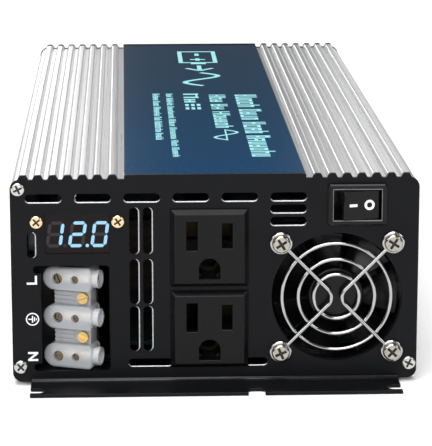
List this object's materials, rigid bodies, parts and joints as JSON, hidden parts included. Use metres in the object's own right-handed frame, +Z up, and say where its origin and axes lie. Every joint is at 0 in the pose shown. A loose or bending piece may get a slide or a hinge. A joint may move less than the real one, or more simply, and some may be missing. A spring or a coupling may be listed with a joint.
{
  "type": "power inverter",
  "caption": "DC to AC power inverter: ribbed aluminium housing on a flanged base, with sockets, output terminals, voltage display, rocker switch and guarded cooling fans.",
  "frame": {"origin": "middle of the underside of the bottom plate, at the centre of the bounding box", "axes": "+X to the right seen from the socket end, +Y from the socket end to the battery end, +Z up"},
  "size_m": [0.145, 0.352, 0.0766],
  "materials": {
    "anodised_aluminium": "ribbed extrusion, satin anodised",
    "black_steel": "fine textured powder coat",
    "blue_label": "printed film, satin",
    "zinc_screw": "zinc plated",
    "black_plastic": "fine moulded texture",
    "switch_plastic": "glossy moulding",
    "brass_contact": "stamped brass",
    "brass_screw": "machined brass",
    "display_black": "smoked display face",
    "segment_lit": "lit display segments",
    "segment_unlit": "unlit display segments",
    "circuit_board": "solder mask",
    "clear_nylon": "milky translucent moulding",
    "nickel_screw": "nickel plated",
    "red_plastic": "moulded plastic",
    "fan_plastic": "glossy moulding",
    "copper": "bare copper",
    "guard_chrome": "bright plated wire",
    "ferrite": "sintered ferrite",
    "winding_tape": "polyester tape",
    "capacitor_sleeve": "shrunk sleeve",
    "chip_epoxy": "moulded epoxy",
    "silicone_pad": "thermal pad",
    "bar_aluminium": "sawn bar",
    "fuse_plastic": "tinted fuse body",
    "lead_insulation": "wire insulation"
  },
  "bodies": {
    "chassis": {"top_shell": "anodised_aluminium", "bottom_plate": "black_steel", "front_panel": "black_steel", "rear_panel": "black_steel", "label_plate": "blue_label", "front_corner_screws": "zinc_screw", "rear_corner_screws": "zinc_screw", "bottom_screws": "zinc_screw", "upper_outlet": "black_plastic", "lower_outlet": "black_plastic", "upper_outlet_contacts": "brass_contact", "lower_outlet_contacts": "brass_contact", "switch_housing": "switch_plastic", "switch_terminals": "brass_contact", "display_module": "display_black", "display_segments_lit": "segment_lit", "display_segments_unlit": "segment_unlit", "display_board": "circuit_board", "display_screws": "brass_screw", "terminal_tray": "black_plastic", "terminal_block": "clear_nylon", "terminal_inserts": "brass_contact", "terminal_clamp_screws": "nickel_screw", "terminal_block_screws": "brass_screw", "live_sleeve": "red_plastic", "positive_base": "red_plastic", "negative_base": "black_plastic", "dc_studs": "brass_contact", "dc_washers": "nickel_screw", "dc_nuts": "brass_contact", "bus_bars": "copper", "ground_terminal": "zinc_screw", "main_board": "circuit_board", "board_standoffs": "brass_contact", "board_screws": "zinc_screw", "transformer_cores": "ferrite", "transformer_windings": "winding_tape", "bulk_capacitors": "capacitor_sleeve", "input_capacitors": "capacitor_sleeve", "transistors": "chip_epoxy", "insulator_pads": "silicone_pad", "clamp_bars": "bar_aluminium", "choke_core": "ferrite", "choke_winding": "copper", "blade_fuses": "fuse_plastic", "control_board": "circuit_board", "output_leads": "lead_insulation", "front_fan_frame": "fan_plastic", "front_fan_stator": "copper", "front_fan_guard": "guard_chrome", "front_fan_screws": "nickel_screw", "front_fan_nuts": "zinc_screw", "rear_fan_frame": "fan_plastic", "rear_fan_stator": "copper", "rear_fan_guard": "guard_chrome", "rear_fan_screws": "nickel_screw", "rear_fan_nuts": "zinc_screw"},
    "rocker": {"power_rocker": "switch_plastic"},
    "front_rotor": {"front_fan_rotor": "fan_plastic"},
    "rear_rotor": {"rear_fan_rotor": "fan_plastic"}
  },
  "joints": [
    {"name": "rocker_tilt", "type": "hinge", "parent": "chassis", "child": "rocker", "pos_m": [0.0504, -0.1552, 0.0654], "axis": [0, 0, 1], "range_deg": [-22, 0]},
    {"name": "front_fan_spin", "type": "hinge", "parent": "chassis", "child": "front_rotor", "pos_m": [0.0434, -0.1535, 0.0315], "axis": [0, 1, 0], "continuous": true},
    {"name": "rear_fan_spin", "type": "hinge", "parent": "chassis", "child": "rear_rotor", "pos_m": [0, 0.1535, 0.0372], "axis": [0, 1, 0], "continuous": true}
  ]
}
